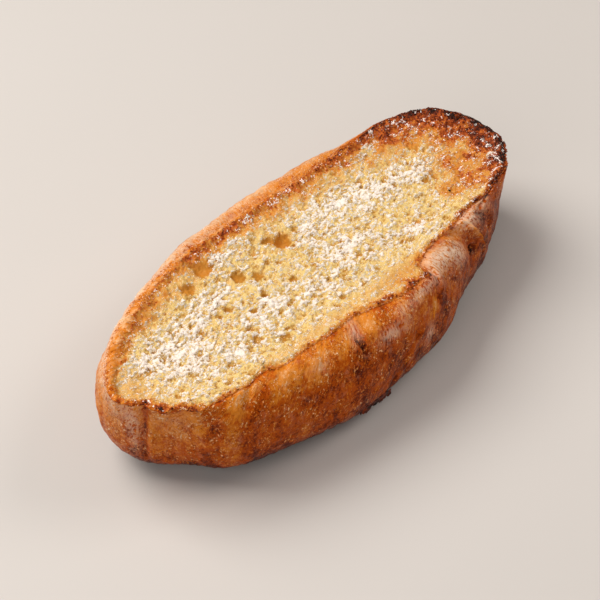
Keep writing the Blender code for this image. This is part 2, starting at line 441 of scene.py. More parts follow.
# Open pores that stand out: x, y, radius and depth in mm
LARGE_PORES = (
    (-1, 16, 3.4, 3), (-5, 20, 2.2, 1.4), (-33, 26, 4, 2),
    (-44, 22, 3, 1.6), (-26, 14, 2.8, 1.8), (-20, 10, 2.4, 1.6),
    (-12, -1, 1.7, 1.1), (-25, 1, 1.8, 1.1), (-40, 6, 1.9, 1.3),
    (-45, 5, 1.5, 1), (-34, -2, 1.6, 0.9), (-40, -7, 1.6, 0.8),
    (-55, 4, 1.5, 0.9), (-43, -13, 2.4, 0.8), (-35, -20, 2.6, 0.8),
    (-63, -4, 1.6, 0.8), (-58, -15, 2, 0.6), (67, 0, 2, 0.9),
    (62, 0, 2, 0.9), (52, 12, 2, 0.7), (74, 16, 3, 0.8),
)
SMALL_PORES = 130
SMALL_PORE_RADIUS = (0.9 * MM, 1.7 * MM)
SMALL_PORE_DEPTH = 0.4  # against the radius
PORE_SEED = 7
PORE_EDGES = ((2.6, 51, 0.45), (1.2, 52, 0.35))
print("pores:", len(LARGE_PORES), "large and", SMALL_PORES, "small")


# %% Cut face height
def rim_crags(angle):
    """The uneven height of the crisp rim."""
    return RIM_CRAG * layered(lay(run_along_rim(angle)), RIM_CRAGS)


def scattered_pores():
    """Small pores, spread evenly over the cut face by a seeded draw."""
    draw = random.Random(PORE_SEED)
    for _ in range(SMALL_PORES):
        angle = np.array([draw.uniform(-np.pi, np.pi)])
        x, y = rim_outline(angle)[0] * 0.92 * draw.random() ** 0.5
        radius = draw.uniform(*SMALL_PORE_RADIUS)
        yield x, y, radius, SMALL_PORE_DEPTH * radius


def pore_relief(plan):
    """How far the pores sink the cut face."""
    pores = [tuple(size * MM for size in pore) for pore in LARGE_PORES]
    relief = np.zeros(len(plan))
    wander = layered(lay(*plan.T), PORE_EDGES, 1)
    for x, y, radius, depth in pores + list(scattered_pores()):
        away = np.hypot(plan[:, 0] - x, plan[:, 1] - y) / radius * wander
        relief = np.minimum(relief, -depth * ease(1.25, 0.35, away))
    return relief


def cut_face(angle, reach):
    """The dished, pored crumb inside its crisp lip."""
    plan = rim_outline(angle) * reach[:, None]
    flat = lay(*plan.T)
    depth_in = (1 - reach) * width_in(angle) / MM
    inside = ease(0, 4, depth_in)
    height = (
        RIM_HEIGHT
        + rim_crags(angle) * ease(5, 0, depth_in)
        + LIP_HEIGHT * bell((depth_in - 2.2) / 1.6)
        - DISH_DEPTH * ease(0, 20, depth_in)
        + layered(flat, CRUMB_SWELL) * inside
        + CRUMB_LUMP * layered(flat, CRUMB_LUMPS) * ease(0, 1.2, depth_in)
        + pore_relief(plan) * inside
    )
    return np.column_stack([plan, height])


middle_height = cut_face(np.array([0.0]), np.array([0.0]))[0, 2]
print("the middle of the cut face lies at", round(middle_height / MM, 1), "mm")

# %% [markdown]
# ## How brown, how soaked, how sugared
# Colour follows heat: the rim and the far end touched the pan and went from
# gold through red-brown to char, while the middle stayed the colour of egg.
# Butter pooled in a few places and left the crumb amber and smooth. Sugar was
# shaken on in drifts. Each is a number of 0 to 1 at every point, worked out
# here from soft ovals and from the distance to the rim, and kept on the mesh
# as an attribute that the materials read. Painted pictures would do it too,
# but functions stay sharp at any distance.

# %% Maps of the cut face
# Ovals: x, y, half length, half width in mm, and strength
SUGAR_DRIFTS = (
    (-76, 4, 11, 6, 0.65), (-67, -3, 15, 8, 0.68), (-57, 9, 14, 6, 0.72),
    (-38, 13, 9, 4, 0.85), (-50, -13, 17, 5, 0.65), (-29, -5, 13, 6, 0.7),
    (-8, -11, 13, 5, 0.6), (14, -4, 11, 5, 1), (30, 15, 18, 5, 0.85),
    (48, 8, 17, 6, 0.75), (67, 7, 12, 8, 0.6), (40.5, -15.5, 4, 3, 1.2),
    (-24, 25, 11, 5, 0.75), (10, 7, 14, 7, 0.55), (-3, -20, 20, 3, 0.35),
    (80, 20, 10, 6, 0.3), (88, -7, 7, 6, 0.3), (60, 28, 13, 4, 0.5),
    (27, -14, 12, 4, 0.5), (-74, 20, 8, 3, 0.3), (18, 22, 14, 4, 0.45),
)
SOAKED_SPOTS = (
    (-34.5, 25, 5.5, 3.2, 1), (-45, 22, 3.6, 2.8, 0.7), (-27.5, 14, 4, 3.4, 0.35),
    (-20, 10.5, 3.4, 2.2, 0.3), (-1.5, 16.5, 4.6, 4.2, 0.9), (14, 28, 26, 4.5, 0.5),
    (-74, 21, 11, 4, 0.55), (68, 22, 13, 6, 0.6), (80, 0, 12, 10, 0.5),
    (-91, 0, 7, 16, 0.6), (-30, -27, 40, 3, 0.5), (14, -29, 14, 5, 0.7),
    (-60, 25, 14, 4, 0.6), (40, 24, 14, 5, 0.3), (86, -10, 10, 8, 0.5), (-30, 30, 20, 3, 0.5),
)
TOASTED_SPOTS = (
    (88, 6, 15, 22, 0.56), (72, 26, 20, 7, 0.56), (84, -13, 17, 8, 0.85),
    (40, -14, 7, 3, 0.3), (15, -33, 11, 4, 0.5), (-48, -1, 10, 3, 0.12),
    (-15, 32, 16, 3, 0.35), (66, -10, 6, 4, 0.55), (-14, 20, 5, 3, 0.18),
    (76, 0, 8, 5, 0.35), (96, -2, 8, 14, 0.6),
)

# How far the browning of the rim reaches in, in mm, and how black its edge is
BROWN_REACH = (10, 9, 8, 7, 6, 5.5, 4.5, 3.0, 2.4, 2.6, 2.2, 1.6, 3, 2.2, 3, 6.5)
BROWN_OF_RIM = (
    0.66, 0.66, 0.62, 0.54, 0.46, 0.44, 0.42, 0.4,
    0.42, 0.5, 0.4, 0.38, 0.52, 0.46, 0.56, 0.68,
)
BLACK_EDGE = (
    0.9, 0.85, 0.65, 0.3, 0.05, 0.05, 0, 0,
    0.05, 0.22, 0.18, 0.16, 0.14, 0.1, 0.25, 0.55,
)
# How far the skin laps in over the cut face, in mm; nowhere but on the far side
LIP_SPREAD = (0, 0, 0.4, 1.0, 1.4, 2.0, 3.4, 4.0, 1.8, 0.4, 0, 0, 0, 0, 0, 0)
LAP_EDGE = ((4, 64, 0.6), (1.6, 65, 0.4))
BROWN_PATCHES = ((6, 21, 1), (2.2, 22, 0.6))

# Short burnt stretches of the rim: direction and half width in degrees, strength
SCORCHES = (
    (183, 3, 0.5), (190, 3, 0.55), (195.5, 2.5, 0.8), (206, 3, 1), (211.5, 2, 0.75),
    (219, 2.2, 0.85), (227, 2.2, 0.6), (233.5, 1.2, 0.6), (249, 2.5, 0.35), (256, 1.5, 0.35),
    (270, 2, 0.35), (276.5, 2, 0.45), (281.5, 1.6, 0.7), (292, 1.5, 0.3), (301, 1.5, 0.6),
    (314, 2.5, 0.8), (320, 3, 0.8),
)
print("drifts of sugar:", len(SUGAR_DRIFTS), "soaked spots:", len(SOAKED_SPOTS))


# %% Scorch, lap and browning
def scorched(angle):
    """How burnt the very edge of the rim is, 0 to 1."""
    burnt = np.clip(round_curve(BLACK_EDGE, angle), 0, 1)
    for direction, width, strength in SCORCHES:
        burnt = np.maximum(burnt, strength * bell(turn_between(angle, direction) / width))
    return burnt


def lip_spread(angle):
    """How far the ragged skin laps in over the cut face, in mm."""
    ragged = layered(lay(run_along_rim(angle)), LAP_EDGE, 0.9)
    return np.maximum(round_curve(LIP_SPREAD, angle), 0) * np.maximum(ragged, 0.2)


def ovals_at(plan, spots):
    """How strongly the soft ovals cover each point."""
    left = np.ones(len(plan))
    for x, y, half_length, half_width, strength in spots:
        across = (plan[:, 0] / MM - x) / half_length
        up = (plan[:, 1] / MM - y) / half_width
        left *= 1 - np.minimum(strength, 1) * bell(np.hypot(across, up))
    return 1 - left


def browning_of_face(angle, reach, plan):
    """0 is bare crumb, 0.5 amber, 0.75 red-brown and 1 char."""
    flat = lay(*plan.T)
    depth_in = np.maximum((1 - reach) * width_in(angle) / MM - lip_spread(angle), 0)
    patchy = layered(flat, BROWN_PATCHES)
    spotty = noise_at(flat, 1.4 * MM, 23)
    width = np.maximum(round_curve(BROWN_REACH, angle), 1.0) * (1 + 0.6 * patchy)
    strength = round_curve(BROWN_OF_RIM, angle) + 0.16 * patchy + 0.22 * spotty
    band = strength * bell(depth_in / np.maximum(width, 0.8))
    edge = scorched(angle)
    black = edge * bell(depth_in / (0.8 + 1.3 * edge)) * (0.75 + 0.5 * patchy)
    spots = ovals_at(plan, TOASTED_SPOTS) * (1 + 0.8 * patchy)
    return np.clip(band + 0.6 * spots * (1 - band) + 0.5 * np.clip(black, 0, 1), 0, 1)


burnt_tip = float(scorched(np.array([0.0]))[0])
print("the far tip is burnt", round(burnt_tip, 2), "of the way to black")

# %% [markdown]
# ## The crust
# The skin of the roll runs from the foot over the belly to the rim, rolls over
# into a thin crisp lip and tucks under the crumb. A spin would give the same
# net of rings, but hundreds of steps make it slow; a flat grid rolled into a
# tube and merged along its seam takes a moment. Every point then moves to
# where the outlines put it, so the rings stay closed and the poles clean.

# %% Creases and patches of the skin
# Where each crease starts and ends, as a direction in degrees and a drop (0 at
# the rim, 1 at the belly, 2 at the foot), then its depth, its half width and
# the height of the skin that laps over it, in mm
CREASES = (
    (197.5, 0.05, 192, 1.15, 1.6, 1.5, 0.8),
    (223, 0.15, 228, 0.95, 0.6, 1.5, 0.2),
    (234, 0.05, 235, 1.05, 0.6, 1.7, 0.3),
    (261, 0.3, 262, 0.46, 1.3, 0.6, 0.4),
    (261, 0.5, 263, 0.85, 0.35, 3, 0),
    (269, 0, 270, 0.75, 1.1, 1.8, 0.5),
    (273, 0.75, 267, 1.2, 0.7, 1.8, 0.4),
    (284, 0.02, 278, 0.7, 0.9, 1.7, 0.5),
    (298.5, 0, 299, 0.9, 1.5, 3, 0),
    (303.5, 0.12, 301.8, 0.4, -1.4, 0.9, 0),
    (301.8, 0.4, 302.4, 0.65, -1.5, 0.9, 0),
    (302.4, 0.65, 305.5, 0.95, -1.2, 0.9, 0),
    (280, 0.45, 277.5, 0.8, -0.7, 0.7, 0),
    (317, 0.02, 308, 0.3, 0.9, 1.3, 0.5),
    (308, 0.3, 310, 0.75, 0.9, 1.6, 0.6),
)
DIMPLES = ((299.5, 0.74, 1.6, 1.8), (277, 0.90, 3.2, 1.2), (250, 0.60, 7.0, 0.8))

# Patches of the skin: direction and half width in degrees, drop and its half
# height, and how much browner. Some browner ones darken creases and hollows as
# painted shade, and the paler ones from 278.7 to 306 degrees are painted
# highlights on the bulges and a ridge. Then patches of a pale painted sheen, a
# broad highlight painted into the colour, with the same columns, and how much
SKIN_PATCHES_WITH_PAINTED_LIGHT = (
    (194, 2.4, 0.7, 0.5, 0.06), (196.6, 0.8, 0.2, 0.2, 0.2), (194.7, 0.8, 0.6, 0.3, 0.2),
    (184, 3, 0.95, 0.3, 0.08), (188, 3, 0.4, 0.3, 0.02),
    (217, 2, 0.85, 0.15, 0.1), (227, 2, 0.6, 0.25, 0.1), (236, 1.6, 0.9, 0.45, 0.07),
    (249, 1.5, 0.75, 0.15, 0.1), (262, 0.7, 0.38, 0.08, 0.2), (268, 4, 0.85, 0.25, 0.04),
    (276, 3, 0.9, 0.25, 0.03), (282, 1.5, 0.1, 0.12, 0.22),
    (293, 3, 1, 0.3, 0.02), (299.7, 1, 0.76, 0.08, 0.3), (308, 2, 0.48, 0.12, 0.22),
    (312, 3, 0.75, 0.25, 0.04), (207, 7, 0.5, 0.4, -0.08), (232, 3, 0.25, 0.25, -0.1),
    (243, 5, 0.18, 0.22, -0.1), (252, 5, 0.28, 0.25, -0.12), (258, 3, 0.2, 0.22, -0.1),
    (265, 3, 0.12, 0.14, -0.12), (269, 3, 0.3, 0.2, -0.06), (289, 5, 0.2, 0.2, -0.2),
    (293, 3, 0.45, 0.22, -0.14), (306, 4, 0.14, 0.16, -0.22), (298, 3, 0.2, 0.25, -0.08),
    (278.7, 0.6, 0.62, 0.16, -0.28), (322, 3, 0.3, 0.25, -0.1),
    (155, 34, 0.04, 0.15, 0.2), (95, 34, 0.03, 0.12, 0.26),
)
PAINTED_SHEEN_PATCHES = (
    (287, 5.5, 0.22, 0.2, 1), (293, 3.2, 0.42, 0.22, 0.9), (306, 5, 0.18, 0.22, 1),
    (277, 3, 0.22, 0.12, 0.5), (268, 2.6, 0.48, 0.1, 0.6), (252, 1.8, 0.33, 0.1, 0.3),
    (276.5, 1.2, 0.95, 0.08, 0.6), (188, 4, 0.7, 0.4, 0.4), (261, 1.2, 0.15, 0.16, 0.5),
    (208, 8, 0.5, 0.4, 0.15), (175, 12, 0.4, 0.4, 0.4), (150, 25, 0.15, 0.3, 0.5),
    (115, 25, 0.15, 0.3, 0.5), (272, 1.6, 0.3, 0.15, 0.3), (312, 1.5, 0.12, 0.3, 0.3),
)
CRUST_SWELLS = ((26, 0, 1.2 * MM), (11, 7, 0.6 * MM))
LEATHER = ((4.5, 19, 0.28 * MM), (2.0, 19, 0.20 * MM))
WRINKLE_PITCH = 6.5 * MM
WRINKLE_DEPTH = 0.32 * MM
FINE_WRINKLE_PITCH = 3.4 * MM
FINE_WRINKLE_DEPTH = 0.30 * MM
STROKES = ((1.5, 5, 1), (2.6, 8, 0.8))  # the fine fibres of stretched skin
STROKE_DEPTH = 0.09 * MM
STROKE_SLANT = 7 * MM  # how far a stroke drifts on its way to the belly
PIMPLE_DEPTH = 0.35 * MM
CREASE_ENDS = 0.16  # the drop over which a crease fades out
DROP_SHARE = 0.7  # of RIM_HEIGHT: the way that a drop of 1 takes near the rim
print("creases:", len(CREASES), "patches:", len(SKIN_PATCHES_WITH_PAINTED_LIGHT) + len(PAINTED_SHEEN_PATCHES))


# %% Relief of the skin
def crease_relief(angle, drop):
    """How far creases push the skin, how deep in one each point is, and ridges."""
    onward = belly_outline(angle + LITTLE_TURN) - belly_outline(angle)
    speed = np.linalg.norm(onward, axis=1) / LITTLE_TURN
    relief = np.zeros_like(angle)
    inside = np.zeros_like(angle)
    crest = np.zeros_like(angle)
    for start, top, end, bottom, depth, width, lap in CREASES:
        share = np.clip((drop - top) / (bottom - top), 0, 1)
        middle = start + (end - start) * share
        across = np.radians(turn_between(angle, middle)) * speed / (width * MM)
        fade = ease(CREASE_ENDS, 0, np.maximum(top - drop, drop - bottom))
        relief += fade * MM * (lap * bell((across - 2) / 1.3) - depth * bell(across))
        inside = np.maximum(inside, fade * min(depth, 1.6) / 1.6 * bell(across / 0.8))
        crest = np.maximum(crest, (depth < 0) * fade * bell(across / 0.8))
    for direction, level, radius, depth in DIMPLES:
        across = np.radians(turn_between(angle, direction)) * speed
        down = (drop - level) * RIM_HEIGHT * DROP_SHARE
        hollow = bell(np.hypot(across, down) / (radius * MM))
        relief -= depth * MM * hollow
        inside = np.maximum(inside, (radius < 3) * hollow)
    return relief, inside, crest


def patches_at(angle, drop, patches):
    """The summed strength of soft patches of the skin."""
    total = np.zeros_like(angle)
    for direction, width, level, height, strength in patches:
        away = np.hypot(turn_between(angle, direction) / width, (drop - level) / height)
        total += strength * bell(away)
    return total


def skin_relief(points, angle, drop):
    """Swells, dents, wrinkles and fibres of the crust, gone at the foot."""
    run = run_along_rim(angle)
    slanted = run + STROKE_SLANT * drop
    creases, inside, crest = crease_relief(angle, drop)
    wrinkles = (1 - abs(noise_at(lay(run, drop * 9 * MM), WRINKLE_PITCH))) ** 4
    bent = lay(slanted, drop * 16 * MM) + 1.2 * MM * noise_at(points, 5 * MM, 17)[:, None]
    fine_wrinkles = (1 - abs(noise_at(bent, FINE_WRINKLE_PITCH, 6))) ** 5
    fine_wrinkles *= ease(-0.2, 0.5, noise_at(points, 12 * MM, 18))
    strokes = layered(lay(slanted, drop * 5 * MM), STROKES)
    relief = (
        layered(points, CRUST_SWELLS)
        - WRINKLE_DEPTH * wrinkles * ease(0.05, 0.3, drop)
        + STROKE_DEPTH * strokes * ease(1.9, 1.2, drop)
        - FINE_WRINKLE_DEPTH * fine_wrinkles * ease(0.05, 0.3, drop)
        + layered(points, LEATHER)
        - PIMPLE_DEPTH * ease(0.42, 0.7, noise_at(points, 2.4 * MM, 3))
        + creases
    )
    # Painted shade: crease depth, small dimples and wrinkles darken the colour, and the raised
    # ridges, taken away, lighten it as a painted highlight.
    painted_fold_shade = np.maximum(inside, np.maximum(0.45 * wrinkles, 0.4 * fine_wrinkles))
    return relief * ease(2.0, 1.6, drop), painted_fold_shade - 1.4 * crest


# %% [markdown]
# The rows of the crust stand close together on the side, where the skin shows,
# and far apart under the foot. The side rows are spaced by the length of a
# typical section, because equal steps of its angle would crowd them at the rim.

# %% Rows of the crust
SIDE_ROWS = 96
RING_POINTS = 840
FOOT_REACHES = (0, 0.35, 0.7, 0.92)
# The lip: way in from the rim and lift over the cut face, in mm, and how much of
# the lap over the cut face each row takes
LIP_ROWS = (
    (0.08, 0.05, 0), (0.16, 0.09, 0.12), (0.2, 0.14, 0.3), (0.24, 0.16, 0.48),
    (0.28, 0.14, 0.66), (0.32, 0.08, 0.84), (0.36, 0, 1), (0.42, -0.25, 1),
    (0.5, -0.7, 1), (0.7, -1.6, 1), (1.1, -3.2, 1),
)
LIP_TEARS = ((1.7, 61, 0.5),)  # how the lip's edge wanders in and out
LIP_CRUMBS = ((1.02, 62, 0.3 * MM),)
LIP_FLAKES = ((2.2, 66, 0.35 * MM),)  # the flaky skin on its lap
LAP_SHOWS = 0.3  # mm, the least lap that is coloured as skin
INNER_FLOOR = 9 * MM  # below the rim, where nobody sees it
INNER_REACHES = (0.6, 0)


def crust_section(angle, drop):
    """The smooth crust, from the rim over its belly and under to the foot."""
    rim = rim_outline(angle)
    belly = belly_outline(angle)
    foot = oval(angle) * FOOT_SHARE
    above = np.clip(1 - drop, 0, 1) * np.pi / 2
    below = np.clip(drop - 1, 0, 1) * np.pi / 2
    over = (np.cos(above) ** (2 / CRUST_POWER))[:, None]
    under = (np.cos(below) ** (2 / CRUST_POWER))[:, None]
    plan = np.where(
        (drop <= 1)[:, None], rim + (belly - rim) * over, foot + (belly - foot) * under
    )
    rise = BELLY_HEIGHT + (1 - BELLY_HEIGHT) * np.sin(above) ** (2 / CRUST_POWER)
    fall = BELLY_HEIGHT * (1 - np.sin(below) ** (2 / CRUST_POWER))
    height = np.where(drop <= 1, rise, fall) * RIM_HEIGHT
    return np.column_stack([plan, height])


def skin_ruler(start, end, marks):
    """Drops from start to end and how far along a typical section each one is."""
    drop = np.linspace(start, end, marks)
    return drop, lengths_along(crust_section(np.full_like(drop, -np.pi / 2), drop))


ruler_drop, ruler_length = skin_ruler(2, 0, 2001)
side_drops = np.interp(np.linspace(0, ruler_length[-1], SIDE_ROWS), ruler_length, ruler_drop)
print("from foot to rim the skin is", round(ruler_length[-1] / MM), "mm in", SIDE_ROWS, "rows")


# %% Mesh helpers
def points_of(mesh, kind="co"):
    """The mesh's points, or with kind vector the directions they face."""
    values = np.empty(len(mesh.vertices) * 3, np.float32)
    source = mesh.vertices if kind == "co" else mesh.vertex_normals
    source.foreach_get(kind, values)
    return values.reshape(-1, 3).astype(float)


def set_points(mesh, points):
    mesh.vertices.foreach_set("co", points.astype(np.float32).ravel())
    mesh.update()


def keep(mesh, name, values):
    """Keeps one number a point on the mesh for its material."""
    kept = mesh.attributes.new(name, "FLOAT", "POINT")
    kept.data.foreach_set("value", np.clip(values, 0, 1).astype(np.float32))


# %% Roll the net of the crust
def rolled_net(name, row_reaches):
    """A net whose rings stand one above another; reach 0 makes a pole."""
    last = len(row_reaches) - 1
    bm = new_grid((RING_POINTS, last))
    for vert in bm.verts:
        row = round((vert.co.y + 1) / 2 * last)
        turn = math.pi * vert.co.x
        reach = row_reaches[row]
        vert.co = (reach * math.cos(turn), reach * math.sin(turn), row)
    bmesh.ops.remove_doubles(bm, verts=bm.verts, dist=1e-4)
    return finish_mesh(bm, name)


row_kinds = (
    [("foot", reach) for reach in FOOT_REACHES]
    + [("side", drop) for drop in side_drops]
    + [("lip", k) for k in range(len(LIP_ROWS))]
    + [("inner", reach) for reach in INNER_REACHES]
)
poles = {0, len(row_kinds) - 1}
crust_mesh = rolled_net("baked_crust", [float(k not in poles) for k in range(len(row_kinds))])
print("crust net:", len(crust_mesh.vertices), "points in", len(row_kinds), "rows")

# %% [markdown]
# Equal turns would bunch the points at the two tips, so the direction of each
# point is first respaced by the way round the belly. Then each zone of rows
# goes to its own place, and the relief pushes the side along its own normals.


# %% Place the crust
def even_turns(turn):
    """Directions that stand equally far apart along the belly."""
    steps = np.linspace(-np.pi, np.pi, 2 * ROUND_STEPS - 1)
    runs = run_along_rim(steps)
    return np.interp((turn + np.pi) / (2 * np.pi) * runs[-1], runs, steps)


def place_crust(mesh):
    """Moves the net onto the roll. Gives the maps that its finish reads."""
    net = points_of(mesh)
    rows = np.rint(net[:, 2]).astype(int)
    angle = even_turns(np.arctan2(net[:, 1], net[:, 0]))
    zone = np.array([kind for kind, _ in row_kinds])[rows]
    value = np.array([number for _, number in row_kinds])[rows]
    points = np.zeros_like(net)
    foot, side, lip, inner = (zone == name for name in ("foot", "side", "lip", "inner"))
    points[foot, :2] = oval(angle[foot]) * FOOT_SHARE * value[foot, None]
    points[side] = crust_section(angle[side], value[side])
    way, lift, lap = np.array(LIP_ROWS).T[:, value[lip].astype(int)]
    spread = lip_spread(angle[lip])
    way_in = way + spread * lap
    flat = lay(run_along_rim(angle[lip]), way_in * MM)
    torn = layered(flat, LIP_TEARS, 1)
    points[lip] = cut_face(angle[lip], 1 - way_in * torn * MM / width_in(angle[lip]))
    points[lip, 2] += lift * MM + layered(flat, LIP_CRUMBS)
    points[lip, 2] += np.minimum(spread, 1) * layered(flat, LIP_FLAKES)
    points[inner, :2] = rim_outline(angle[inner]) * value[inner, None]
    points[inner, 2] = RIM_HEIGHT - INNER_FLOOR
    set_points(mesh, points)
    outward = points_of(mesh, "vector")
    drop = np.where(side, value, np.where(foot, 2.0, 0.0))
    relief, painted_side_shade = skin_relief(points[side], angle[side], drop[side])
    near_rim = ease(0.0, 0.12, drop[side])
    points[side] += outward[side] * (relief * near_rim)[:, None]
    points[side, 2] += rim_crags(angle[side]) * ease(0.25, 0.0, drop[side])
    set_points(mesh, points)
    painted_fold_shade = np.zeros(len(net))
    painted_fold_shade[side] = painted_side_shade
    toasted = np.where(spread > LAP_SHOWS, ease(0.5, 1, lap), 1)
    return angle, drop, side, lip, painted_fold_shade, toasted


crust_angle, crust_drop, on_side, on_lip, crust_painted_shade, lip_toasted = place_crust(crust_mesh)
lowest_face = points_of(crust_mesh, "vector")[0]
print("the foot faces", tuple(round(float(v), 2) for v in lowest_face))

# %% [markdown]
# Strokes of colour have to run down the skin and join up behind, so each point
# also keeps a place on a straight tube that is as long round as the belly.


# %% Way down the skin
def way_down(drop):
    """How far a drop lies from the rim along a typical section, in mm."""
    return np.interp(drop, *skin_ruler(0, 2, 401)) / MM


def skin_places(angle, drop):
    """A place for each point on a straight tube as wide as the roll, in metres."""
    run = run_along_rim(angle) + STROKE_SLANT * drop
    turn = 2 * np.pi * run / girth
    radius = girth / (2 * np.pi)
    return np.column_stack([radius * np.cos(turn), radius * np.sin(turn), way_down(drop) * MM])


print("the belly is", round(float(way_down(1.0))), "mm down the skin")

# %% [markdown]
# The skin is palest high on the far flank, a pale painted there for the light
# that falls on that side. It darkens down towards the foot, where the baked
# bottom is browner and the darkening also paints the shade near the floor, and
# inside creases, wrinkles and hollows, where the darkening is painted shade;
# along raised ridges it is painted lighter. The far tip and a few stretches of
# the near rim are burnt. The lip takes its colour from the skin where it laps
# far in, and from the toasted face elsewhere.

# %% Browning of the crust
# One value for each 22.5 degrees from the far tip towards +Y: how brown the
# skin is at the rim and how brown at the belly. 0 is peach and 1 is char.
# Painted light: the low values at about 90 to 160 degrees make the far flank pale where the key
# lamp falls on it.
SKIN_AT_RIM = (
    0.86, 0.8, 0.6, 0.24, 0.08, 0.05, 0.06, 0.14,
    0.32, 0.44, 0.44, 0.43, 0.46, 0.45, 0.55, 0.74,
)
SKIN_AT_BELLY = (
    0.64, 0.52, 0.4, 0.3, 0.24, 0.22, 0.26, 0.36,
    0.42, 0.44, 0.48, 0.54, 0.57, 0.61, 0.66, 0.68,
)
# Darker towards the foot: the baked bottom is browner, and part of the darkening is painted shade
# near the floor.
SKIN_AT_FOOT = 0.90


def browning_of_skin(points, angle, drop, painted_fold_shade):
    """0 is peach, 0.35 orange, 0.6 chestnut, 0.8 dark and 1 char."""
    top, belly = round_curve(SKIN_AT_RIM, angle), round_curve(SKIN_AT_BELLY, angle)
    upper = top + (belly - top) * ease(0.0, 0.75, drop)
    brown = upper + (SKIN_AT_FOOT - upper) * ease(0.8, 1.7, drop)
    on_skin = lay(run_along_rim(angle), drop * 8 * MM)
    patchy = noise_at(on_skin, 9 * MM, 31) + 0.7 * noise_at(points, 4 * MM, 32)
    # Painted shade and light: the fold map darkens creases and wrinkles and lightens ridges, and
    # some skin patches are painted shade in hollows and some painted highlights on bulges.
    brown += 0.17 * patchy + 0.16 * painted_fold_shade + patches_at(angle, drop, SKIN_PATCHES_WITH_PAINTED_LIGHT)
    edge = scorched(angle)
    speckle = noise_at(on_skin, 2.5 * MM, 33)
    reach = 0.3 + 2.6 * edge * (1 + 0.8 * speckle)
    burnt = ease(0.05, 0.9, edge) * bell(way_down(drop) / np.maximum(reach, 0.3))
    return brown + 0.75 * burnt * np.clip(0.7 + 1.0 * speckle, 0, 1)


crust_points = points_of(crust_mesh)
crust_brown = browning_of_skin(crust_points, crust_angle, crust_drop, crust_painted_shade)
lip_plan = crust_points[on_lip, :2]
lip_brown = browning_of_face(crust_angle[on_lip], np.ones(len(lip_plan)), lip_plan)
toasted = 0.3 * crust_brown[on_lip] + 0.45 * lip_brown
toasted = layered(crust_points[on_lip], ((1.3, 63, 0.16),), toasted)
lapped = layered(crust_points[on_lip], ((1.3, 63, 0.14), (2.4, 67, 0.16)), crust_brown[on_lip])
crust_brown[on_lip] = lapped + (toasted - lapped) * lip_toasted
keep(crust_mesh, "brown", crust_brown)
# Painted highlight: where the sheen patches lie, the crust's colour is turned pale pink in place
# of a lamp's shine.
painted_sheen = patches_at(crust_angle, crust_drop, PAINTED_SHEEN_PATCHES)
keep(crust_mesh, "painted_sheen", np.where(on_side, painted_sheen, 0))
wrap = crust_mesh.attributes.new("skin", "FLOAT_VECTOR", "POINT")
wrap.data.foreach_set("vector", skin_places(crust_angle, crust_drop).astype(np.float32).ravel())
print("the crust is", round(float(crust_brown.mean()), 2), "brown on the whole")

# %% [markdown]
# ## The crumb
# Bread crumb is foam: bubbles of all sizes, cut open by the knife and pulled a
# little along the roll. A fine grid is laid into the rim by the same functions
# as the lip, and bubbles are cut into it: cell noise in space gives each
# bubble a centre off the cut plane, so the openings differ in size by
# themselves. The border slips under the crust's lip, and a skirt and a bottom
# close the piece.

# %% Net of the crumb
CRUMB_PANELS = (460, 200)
CRUMB_SEAT = 8 * MM  # below the rim, just over the crust's inner floor
CRUMB_BORDER = 0.22 * MM  # in from the rim, hidden by the lip
SKIRT_REACH = 0.8  # the skirt leans in, clear of the crust's flanks


def crumb_net(name):
    """A square grid with a skirt, closed below."""
    bm = new_grid(CRUMB_PANELS)
    border = [edge for edge in bm.edges if edge.is_boundary]
    made = bmesh.ops.extrude_edge_only(bm, edges=border)["geom"]
    skirt = [item for item in made if isinstance(item, bmesh.types.BMVert)]
    bmesh.ops.translate(bm, verts=skirt, vec=(0, 0, -1))
    bmesh.ops.holes_fill(bm, edges=[edge for edge in bm.edges if edge.is_boundary], sides=0)
    return finish_mesh(bm, name)


crumb_mesh = crumb_net("toasted_crumb")
print("crumb net:", len(crumb_mesh.vertices), "points,", len(crumb_mesh.polygons), "faces")

# %% Bubbles
# Pitch, depth against the radius and the share of a bubble's radius that chance takes
BUBBLES = ((2.3 * MM, 0.34, 0.9), (1.4 * MM, 0.6, 0.7), (0.95 * MM, 0.8, 0.5))
PULL = 1.35  # how much longer the bubbles are along the roll
BUBBLE_RADIUS = 0.62  # against the pitch
BUBBLE_WARP = 0.42  # how far the walls wander, against the pitch
GRIT_HEIGHT = 0.40 * MM  # of the torn walls
GRIT = ((0.9, 13, 1), (1.89, 14, 0.7))
LAP_HIDES = 0.25 * MM  # how far the crumb sinks where the skin laps over it
FULL_PIT = 1.2 * MM


def open_bubbles(plan, pitch, depth, chance, level):
    """How deep the cut bubbles of one size are at each point, in metres."""
    flat = lay(plan[:, 0] / PULL, plan[:, 1]) + np.array([0, 0, level * pitch])
    sideways = noise_at(flat, 0.9 * pitch, level), noise_at(flat, 0.9 * pitch, level + 4)
    flat[:, :2] += BUBBLE_WARP * pitch * np.column_stack(sideways)
    deep = np.empty(len(plan))
    for k, place in enumerate((flat / pitch).tolist()):
        away, centres = noise.voronoi(place)
        luck = (centres[0][0] * 7.31 + centres[0][1] * 3.97) % 1
        radius = BUBBLE_RADIUS * (1 - chance * luck)
        deep[k] = max(0.0, radius * radius - away[0] * away[0]) ** 0.5
    return deep * pitch * depth


